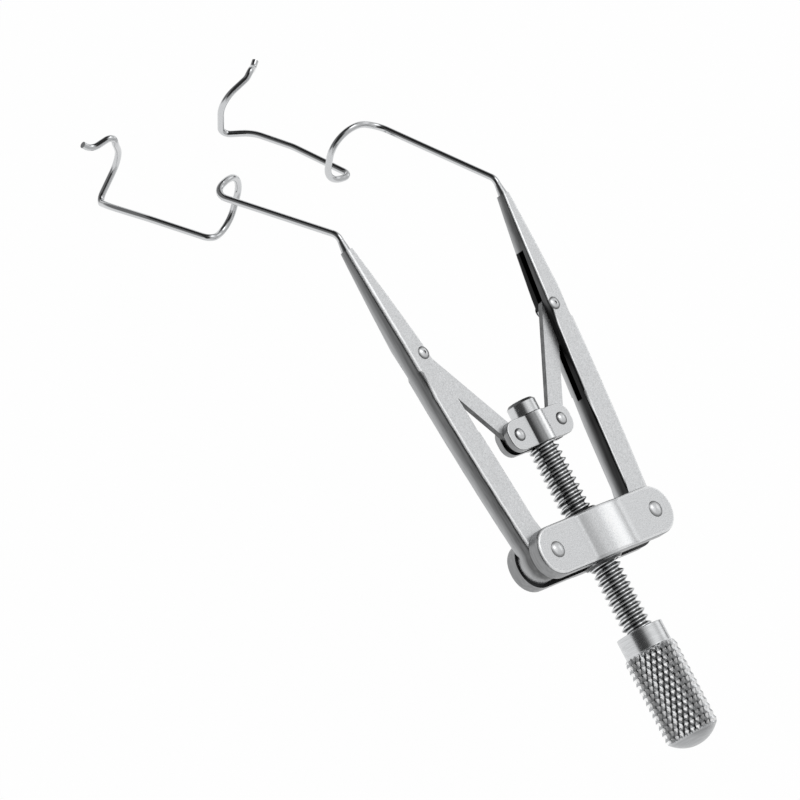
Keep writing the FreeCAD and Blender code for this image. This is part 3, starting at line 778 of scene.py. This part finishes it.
FINISHES: Dict[str, Finish] = {
    "plate": SatinPlate("SatinPlate", roughness=0.36, mottle=0.8, grain_depth=0.004 * MM, side_shade=0.42,
                        bulge_half=3.2 * MM, bulge_flank_shade=0.55, inner_half=1.175 * MM,
                        crest=(2.75 * MM, 3.1 * MM)),
    "collar": SatinPlate("SatinCollar", roughness=0.3, mottle=0.6, grain_depth=0.003 * MM, side_shade=0.42,
                         bulge_half=1.8 * MM, bulge_flank_shade=0.35, inner_half=0.34 * MM,
                         crest=(1.25 * MM, 1.7 * MM)),
    "arm": ArmSteel("SatinArm", roughness=0.36, mottle=0.8, grain_depth=0.004 * MM, side_light=0.5),
    "link": SatinPlate("SatinLink", roughness=0.34, mottle=0.8, grain_depth=0.003 * MM),
    "rivet": RivetSteel("PolishedRivet", roughness=0.3, mottle=0.3, grain_depth=0.001 * MM),
    "collar_rivet": RivetSteel("CollarRivet", roughness=0.3, mottle=0.3, grain_depth=0.001 * MM,
                               rim=(0.8, 0.91)),
    "turned": TurnedSteel("TurnedSteel", colour=(0.64, 0.65, 0.66), roughness=0.24, chamfer_shade=0.12),
    "thread": CutSteel("CutThread", roughness=0.18),
    "knob": KnobSteel("KnurledKnob", colour=(0.65, 0.66, 0.67), roughness=0.26, mottle=0.6, ring=0.09 * MM),
    "wire": DrawnWire("DrawnWire", colour=(0.6, 0.61, 0.62), roughness=0.14, mottle=0.2,
                      grain_depth=0.0005 * MM, grain_gloss=0.08,
                      # Painted shade on the side of the wire that faces -X, +Y and +Z.
                      painted_side_shade=PaintedSideShade((-0.761, 0.458, 0.458), (0.79, 0.91), 0.22)),
}


# Meshes


@dataclass
class Mesh:
    """A piece's surface that is worked out with numpy, in metres.

    Attributes:
        points: The vertices, one in each row.
        faces: Blocks of faces, each with one face's vertex numbers in each row.
        flat: For each block, if its faces are shaded flat.
        merge: Vertices closer than this are one.
        sliver: Edges shorter than this have no length.
    """

    points: np.ndarray
    faces: List[np.ndarray]
    flat: List[bool]
    merge: float = 0.0002 * MM
    sliver: float = 0.0001 * MM

    def build(self, name: str) -> bpy.types.Object:
        """Put the surface into an object with its doubles merged and its normals outwards.

        Args:
            name: The object's name.

        Returns:
            The object, linked to the scene.
        """
        mesh = bpy.data.meshes.new(name)
        faces = [face.tolist() for block in self.faces for face in block]
        mesh.from_pydata(self.points.tolist(), [], faces)
        sharp = np.concatenate([np.full(len(block), flat) for block, flat in zip(self.faces, self.flat)])
        mesh.polygons.foreach_set("use_smooth", ~sharp)
        mesh.update()
        self._weld(mesh)
        made = bpy.data.objects.new(name, mesh)
        bpy.context.scene.collection.objects.link(made)
        return made

    def _weld(self, mesh: bpy.types.Mesh) -> None:
        """Merge doubles, drop faces without area and turn the rest outwards.

        Args:
            mesh: The mesh that is changed.
        """
        work = bmesh.new()
        work.from_mesh(mesh)
        bmesh.ops.remove_doubles(work, verts=work.verts, dist=self.merge)
        bmesh.ops.dissolve_degenerate(work, edges=work.edges, dist=self.sliver)
        bmesh.ops.recalc_face_normals(work, faces=work.faces)
        work.to_mesh(mesh)
        work.free()


def ring_points(radius: np.ndarray, height: np.ndarray, turn: np.ndarray) -> np.ndarray:
    """Place points round the Y axis: X is radius times the turn's sine, Z radius times its cosine."""
    radius, height, turn = np.broadcast_arrays(radius, height, turn)
    return np.stack([radius * np.sin(turn), height, radius * np.cos(turn)], axis=-1)


def grid_faces(rows: int, columns: int, shift: int = 0, first: int = 0) -> np.ndarray:
    """Return the quads of a grid that closes on itself round its columns.

    Vertex (row, column) has number first + row * columns + column. The last column meets the first
    one of the row that is shift further on, as on a screw thread.

    Args:
        rows: Rows of vertices.
        columns: Columns of vertices.
        shift: Rows that one turn climbs.
        first: The number of the first vertex.

    Returns:
        An array of four vertex numbers for each quad.
    """
    row, column = np.meshgrid(np.arange(rows - 1 - shift), np.arange(columns), indexing="ij")
    wraps = column == columns - 1
    beside = (column + 1) % columns
    other = row + np.where(wraps, shift, 0)
    corners = [row * columns + column, other * columns + beside,
               (other + 1) * columns + beside, (row + 1) * columns + column]
    return np.stack(corners, axis=-1).reshape(-1, 4) + first


@dataclass
class Lathe:
    """A profile of heights and radii, turned round the Y axis."""

    columns: int = 96

    def turned(self, profile: Iterable[Tuple[float, float]]) -> np.ndarray:
        """Turn a profile: each of its points becomes a ring of the same height and radius.

        Args:
            profile: The heights and radii.

        Returns:
            The rings' points, in rows.
        """
        rows = np.array(list(profile), float)
        turn = np.arange(self.columns) * 2 * np.pi / self.columns
        return ring_points(rows[:, 1:], rows[:, :1], turn[None, :]).reshape(-1, 3)


# Sub-assemblies


@dataclass
class Thread:
    """The screw's threaded rod with its neck.

    The radius at turn a and height y depends on the share of a pitch by which y is above the groove's
    helix through a: a flat root at 0, straight flanks and a flat crest half a pitch on.

    Attributes:
        crest_radius: The crests' radius.
        root_radius: The roots' radius.
        pitch: The height between two crests.
        groove_height: A height at which the groove's middle passes the +X side.
        low: The rod's lower end, inside the knob.
        thread_low: The thread's lower end.
        high: Its upper end, where the neck starts.
        neck_radius: The neck's radius.
        neck_end: The neck's upper end.
        crest_share: Half the crest's width, in pitches.
        root_share: Half the root's width, in pitches.
        flank_rows: Rows of vertices on a flank.
        spare_turns: The turns that the grid runs past both ends together, before it is cut off.
        columns: The columns of vertices round the rod.
        body: The body that it rides on.
        node: The CAD node that it stands for.
    """

    crest_radius: float = 1.575 * MM
    root_radius: float = 1.18 * MM
    pitch: float = 0.74 * MM
    groove_height: float = -11.09 * MM
    low: float = -16.35 * MM
    thread_low: float = -10.7 * MM
    high: float = 10.61 * MM
    neck_radius: float = 0.95 * MM
    neck_end: float = 14.84 * MM
    crest_share: float = 0.0676
    root_share: float = 0.0946
    flank_rows: int = 4
    spare_turns: int = 3
    columns: int = 96
    body: str = "screw"
    node: str = "threaded_rod"

    def share(self, height: np.ndarray, turn: np.ndarray) -> np.ndarray:
        """Return how many pitches a height is above the groove, which starts on the +X side."""
        return (height - self.groove_height) / self.pitch - (turn / (2 * np.pi) - 0.25)

    def profile(self, share: np.ndarray) -> np.ndarray:
        """Work out the radius, which rises linearly from root to crest.

        Args:
            share: How far it is from a groove's middle, in pitches.

        Returns:
            The radius.
        """
        away = np.abs(share - np.round(share))
        rise = np.clip((away - self.root_share) / (0.5 - self.root_share - self.crest_share), 0, 1)
        return self.root_radius + rise * (self.crest_radius - self.root_radius)

    def mesh(self) -> Mesh:
        """Build the helical grid, cut off level at both ends and closed there by plain rings.

        Returns:
            The rod's surface.
        """
        flank = np.linspace(self.root_share, 0.5 - self.crest_share, self.flank_rows)
        steps = np.concatenate([[0.0], flank, [0.5], 1 - flank[::-1]])
        turns = int(math.ceil((self.high - self.thread_low) / self.pitch)) + self.spare_turns
        shares = (np.arange(turns)[:, None] + steps[None, :]).reshape(-1)
        turn = np.arange(self.columns) * 2 * np.pi / self.columns
        start = math.floor((self.thread_low - self.groove_height) / self.pitch) - 1
        raw = self.groove_height + self.pitch * (
            start + shares[:, None] + turn[None, :] / (2 * np.pi) - 0.25)
        height = np.clip(raw, self.thread_low, self.high)
        helix = ring_points(self.profile(self.share(height, turn[None, :])), height, turn[None, :])
        helix = helix.reshape(-1, 3)
        rows = len(shares)
        lathe = Lathe(self.columns)
        neck = lathe.turned([(self.high, self.neck_radius), (self.neck_end, self.neck_radius),
                             (self.neck_end, 0.0)])
        foot = lathe.turned([(self.low, 0.0), (self.low, self.crest_radius),
                             (self.thread_low, self.crest_radius)])
        top = (rows - 1) * self.columns
        upper = np.concatenate([helix[top:], neck])
        lower = np.concatenate([foot, helix[:self.columns]])
        faces = [grid_faces(rows, self.columns, shift=len(steps)),
                 grid_faces(len(upper) // self.columns, self.columns, first=len(helix)),
                 grid_faces(len(lower) // self.columns, self.columns, first=len(helix) + len(upper))]
        return Mesh(np.concatenate([helix, upper, lower]), faces, [False, True, True])

    def build(self, dress: Dress) -> bpy.types.Object:
        """Make the rod, which stands for its CAD node.

        Args:
            dress: Gives a piece its finish.

        Returns:
            The piece.
        """
        made = self.mesh().build("threaded_rod_cut")
        dress(made, "thread")
        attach(made, self.body)
        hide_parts(self.node)
        return made


@dataclass
class Knob:
    """The thumb knob: neck, knurled grip and domed end.

    The grip's radius at turn a and height y is the lower of its smooth outline and a knurl. The knurl
    is the lower of two sets of V grooves that climb both ways: each rises linearly from a groove's
    bottom to the ridge halfway to the next one.

    Attributes:
        radius: The radius over the knurl's points.
        neck_radius: The neck's radius.
        start: The neck's upper end.
        grip_start: The grip's upper end.
        grip_end: The grip's lower end, where the dome starts.
        chamfer: The height and depth of the grip's chamfers.
        dome: The dome's height.
        soft: The size of the rounding on the neck's edges.
        starts: The number of grooves round the knob, in each set.
        lead: The height that a groove climbs from one start to the next.
        knurl_depth: The grooves' depth below untruncated points.
        tip_flat: The share of that depth by which the points are truncated.
        per_diamond: The columns of vertices for each start, and the rows for each lead.
        dome_rim: The shares of the dome's angle near its rim at which it has a row of vertices.
        dome_rows: The rows from there to its pole.
        body: The body that it rides on.
        node: The CAD node that it stands for.
    """

    radius: float = 2.85 * MM
    neck_radius: float = 2.5 * MM
    start: float = -10.35 * MM
    grip_start: float = -12.55 * MM
    grip_end: float = -22.1 * MM
    chamfer: float = 0.3 * MM
    dome: float = 1.1 * MM
    soft: float = 0.06 * MM
    starts: int = 26
    lead: float = 1.39 * MM
    knurl_depth: float = 0.3 * MM
    tip_flat: float = 0.06
    per_diamond: int = 12
    dome_rim: Tuple[float, ...] = (1.0, 0.98, 0.96, 0.92)
    dome_rows: int = 12
    body: str = "screw"
    node: str = "thumb_knob"

    def knurl(self, turn: np.ndarray, height: np.ndarray) -> np.ndarray:
        """Work out the knurl: its rise is 0 in a groove and 1 on a point.

        Args:
            turn: The angle round the axis.
            height: The height.

        Returns:
            The radius.
        """
        across = turn * self.starts / (2 * np.pi)
        along = (height - self.grip_start) / self.lead
        shares = [way - np.floor(way) for way in (across + along, across - along)]
        sets = [2 * np.abs(share - np.round(share)) for share in shares]
        rise = np.minimum(np.minimum(*sets), 1 - self.tip_flat)
        return self.radius - self.knurl_depth * (1 - self.tip_flat - rise)

    def grip(self) -> np.ndarray:
        """Build the grip's rows, from its upper end to its lower one.

        Returns:
            Their points.
        """
        columns = self.starts * self.per_diamond
        turn = np.arange(columns) * 2 * np.pi / columns
        step = self.lead / self.per_diamond
        count = int(math.floor((self.grip_start - self.grip_end) / step))
        height = np.concatenate([self.grip_start - np.arange(count + 1) * step, [self.grip_end]])
        into = np.minimum(self.grip_start - height, height - self.grip_end)
        outline = self.radius - self.chamfer + np.clip(into, 0, self.chamfer)
        radius = np.minimum(outline[:, None], self.knurl(turn[None, :], height[:, None]))
        return ring_points(radius, height[:, None], turn[None, :]).reshape(-1, 3)

    def mesh(self) -> Mesh:
        """Join the neck, the grip and the dome into one closed surface.

        Returns:
            The knob's surface.
        """
        columns = self.starts * self.per_diamond
        lathe = Lathe(columns)
        soft, top, side = self.soft, self.start, self.neck_radius
        neck = lathe.turned([
            (top, 0.0), (top, side - soft * 2), (top, side - soft), (top - soft * 0.3, side - soft * 0.3),
            (top - soft, side), (top - soft * 2, side), (self.grip_start + soft * 2, side),
            (self.grip_start + soft, side), (self.grip_start, side + soft * 0.4)])
        grip = self.grip()
        foot = self.radius - self.chamfer
        curve = (foot ** 2 + self.dome ** 2) / (2 * self.dome)
        angles = math.asin(foot / curve) * np.array(
            [*self.dome_rim[:-1], *np.linspace(self.dome_rim[-1], 0, self.dome_rows)])
        rim = self.grip_end - self.dome + curve
        dome = lathe.turned([(rim - curve * math.cos(a), curve * math.sin(a)) for a in angles])
        points = np.concatenate([neck, grip, dome])
        rows = len(points) // columns
        neck_rows, grip_rows = len(neck) // columns, len(grip) // columns
        bands = [(0, neck_rows, False), (neck_rows - 1, grip_rows + 2, True),
                 (neck_rows + grip_rows, rows - neck_rows - grip_rows, False)]
        faces = [grid_faces(count, columns, first=low * columns) for low, count, _ in bands]
        return Mesh(points, faces, [flat for _, _, flat in bands])

    def build(self, dress: Dress) -> bpy.types.Object:
        """Make the knob, which stands for its CAD node.

        Args:
            dress: Gives a piece its finish.

        Returns:
            The piece.
        """
        made = self.mesh().build("thumb_knob_knurled")
        dress(made, "knob")
        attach(made, self.body)
        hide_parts(self.node)
        return made


@dataclass
class Frame:
    """The CAD nodes that stay, each with the finish of its kind."""

    kinds: Tuple[Tuple[str, str, Slot], ...] = (
        ("base_plate", "plate", Slot.SATIN), ("collar_plate", "collar", Slot.SATIN),
        ("link", "link", Slot.SATIN), ("base_rivet", "rivet", Slot.TURNED),
        ("collar_rivet", "collar_rivet", Slot.TURNED), ("arm_pin", "rivet", Slot.TURNED),
        ("arm", "arm", Slot.SATIN), ("lid_wire", "wire", Slot.WIRE),
        ("drive_nut", "turned", Slot.TURNED), ("screw_end_cap", "turned", Slot.TURNED),
    )

    def build(self, nodes: Dict[str, bpy.types.Object], dress: Dress) -> None:
        """Dress each node by the first kind that its name starts with.

        Args:
            nodes: The CAD nodes by name.
            dress: Gives a piece its finish.
        """
        for name, node in sorted(nodes.items()):
            kind = next((k for k in self.kinds if name.startswith(k[0])), None)
            if kind is None:
                continue
            dress(node, kind[1])
            LOG.info("node %s has finish %s", name, kind[1])


# Studio


@dataclass(frozen=True)
class Lobe:
    """A round patch of the sky.

    Attributes:
        towards: The way to its middle.
        inner: The angle from there, in degrees, up to which it has its full light.
        outer: The angle at which it has blended into the sky round it.
        light: Its light, where 1 is white.
    """

    towards: Point
    inner: float
    outer: float
    light: float


@dataclass
class Studio:
    """Floor, light and camera.

    Attributes:
        camera_at: Where the camera stands.
        camera_right: The way to its right, as a unit vector.
        camera_up: The way up in its picture.
        camera_back: The way behind it.
        lens: Its focal length, in millimetres.
        sensor: Its sensor's width, in millimetres.
        sight: The nearest and furthest distance that it sees.
        floor_half: Half the floor's width.
        floor_gap: How far the floor lies under the object.
        floor_colour: The floor's colour in its own light and shadow.
        floor_glow: How much of the floor's look is plain white, for the camera and for reflections.
        lamp_at: Where the soft box hangs.
        lamp_size: The soft box's width.
        lamp_power: Its power, in watts.
        base_light: The sky's light outside its patches, where 1 is white.
        lobes: The sky's patches.
    """

    camera_at: Point = (-0.5756, -0.0681, 0.55195)
    camera_right: Point = (0.6588, -0.4595, 0.5957)
    camera_up: Point = (0.2540, 0.8812, 0.3988)
    camera_back: Point = (-0.7082, -0.1114, 0.6972)
    lens: float = 360.0
    sensor: float = 36.0
    sight: Span = (0.05, 20.0)
    floor_half: float = 4.0
    floor_gap: float = 0.2 * MM
    floor_colour: Tuple[float, float, float, float] = (0.93, 0.93, 0.93, 1.0)
    floor_glow: float = 0.98
    lamp_at: Point = (0.15, 0.5, 0.9)
    lamp_size: float = 0.5
    lamp_power: float = 1.2
    base_light: float = 0.68
    lobes: Tuple[Lobe, ...] = (
        Lobe((0.2, 0.11, 0.97), 10.0, 26.0, 0.98),
        Lobe((0.873, 0.111, 0.475), 7.0, 17.0, 1.25),
        Lobe((1.0, 0.1, 0.0), 5.0, 16.0, 0.15),
        Lobe((-0.1, 1.0, 0.05), 32.0, 58.0, 0.12),
        Lobe((-0.85, -0.05, 0.5), 24.0, 42.0, 0.05),
    )

    def camera(self) -> None:
        """Put the camera where the photograph was taken from."""
        data = bpy.data.cameras.new("Camera")
        data.lens, data.sensor_width = self.lens, self.sensor
        data.clip_start, data.clip_end = self.sight
        made = bpy.data.objects.new("Camera", data)
        axes = np.array([self.camera_right, self.camera_up, self.camera_back]).T
        turn = Matrix(axes.tolist()).to_4x4()
        made.matrix_world = Matrix.Translation(self.camera_at) @ turn
        bpy.context.scene.collection.objects.link(made)
        bpy.context.scene.camera = made

    def world(self) -> None:
        """Light the object from all round: a plain sky with brighter and darker patches."""
        world = bpy.data.worlds.new("Studio")
        bpy.context.scene.world = world
        world.use_nodes = True
        graph = Graph(world.node_tree)
        way = graph.value(graph.node("ShaderNodeTexCoord"), "Generated")
        light: Any = self.base_light
        for lobe in self.lobes:
            towards = np.array(lobe.towards) / np.linalg.norm(lobe.towards)
            edge, core = (math.cos(math.radians(angle)) for angle in (lobe.outer, lobe.inner))
            patch = graph.ramp(way.dot(tuple(towards)), edge, core)
            light = patch * lobe.light + (1.0 - patch) * light
        glow = graph.node("ShaderNodeBackground", color=WHITE, strength=light)
        graph.node("ShaderNodeOutputWorld", surface=glow.outputs[0])

    def lamp(self) -> None:
        """Hang a square soft box that looks at the object."""
        data = bpy.data.lights.new("KeyLight", "AREA")
        data.shape, data.size, data.energy = "SQUARE", self.lamp_size, self.lamp_power
        made = bpy.data.objects.new("KeyLight", data)
        back = np.array(self.lamp_at) / np.linalg.norm(self.lamp_at)
        side = np.cross((0.0, 1.0, 0.0), back)
        side /= np.linalg.norm(side)
        axes = np.array([side, np.cross(back, side), back]).T
        made.matrix_world = Matrix.Translation(self.lamp_at) @ Matrix(axes.tolist()).to_4x4()
        bpy.context.scene.collection.objects.link(made)

    def floor(self, level: float) -> None:
        """Lay a white floor, which isn't there when it is seen from below.

        Args:
            level: Its height.
        """
        half = self.floor_half
        mesh = bpy.data.meshes.new("Floor")
        corners = [(-half, -half, level), (half, -half, level), (half, half, level), (-half, half, level)]
        mesh.from_pydata(corners, [], [(0, 1, 2, 3)])
        made = bpy.data.objects.new("Floor", mesh)
        bpy.context.scene.collection.objects.link(made)
        material = bpy.data.materials.new("WhiteFloor")
        material.use_nodes = True
        graph = Graph(material.node_tree)
        path = graph.node("ShaderNodeLightPath")
        seen = graph.value(path, "Is Camera Ray").higher(graph.value(path, "Is Glossy Ray")).higher(
            graph.value(path, "Is Transmission Ray"))
        matte = graph.node("ShaderNodeBsdfDiffuse", color=self.floor_colour)
        white = graph.node("ShaderNodeEmission", color=WHITE, strength=1.0)
        top = graph.node("ShaderNodeMixShader", i0=seen * self.floor_glow, i1=matte.outputs[0],
                         i2=white.outputs[0])
        clear = graph.node("ShaderNodeBsdfTransparent")
        below = graph.node("ShaderNodeNewGeometry").outputs["Backfacing"]
        both = graph.node("ShaderNodeMixShader", i0=below, i1=top.outputs[0], i2=clear.outputs[0])
        graph.node("ShaderNodeOutputMaterial", surface=both.outputs[0])
        mesh.materials.append(material)
        made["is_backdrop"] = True

    def build(self, level: float) -> None:
        """Set up everything round the object.

        Args:
            level: The height of the object's lowest point.
        """
        self.camera()
        self.world()
        self.lamp()
        self.floor(level - self.floor_gap)
        bpy.context.scene.view_settings.view_transform = "Standard"


def main() -> None:
    """Load the frame, dress it and set it in the studio."""
    logging.basicConfig(level=logging.INFO, format="%(name)s: %(message)s")
    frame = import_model()
    low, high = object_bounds()
    made: Dict[str, bpy.types.Material] = {name: finish.material() for name, finish in FINISHES.items()}

    def dress(piece: bpy.types.Object, finish: str) -> None:
        """Give a piece its finish."""
        piece.data.materials.clear()
        piece.data.materials.append(made[finish])

    Frame().build(frame["nodes"], dress)
    for part in (Thread(), Knob()):
        piece = part.build(dress)
        LOG.info("piece %s has %d faces", piece.name, len(piece.data.polygons))
    Studio().build(low[2])
    low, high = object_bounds()


if __name__ == "__main__":
    main()
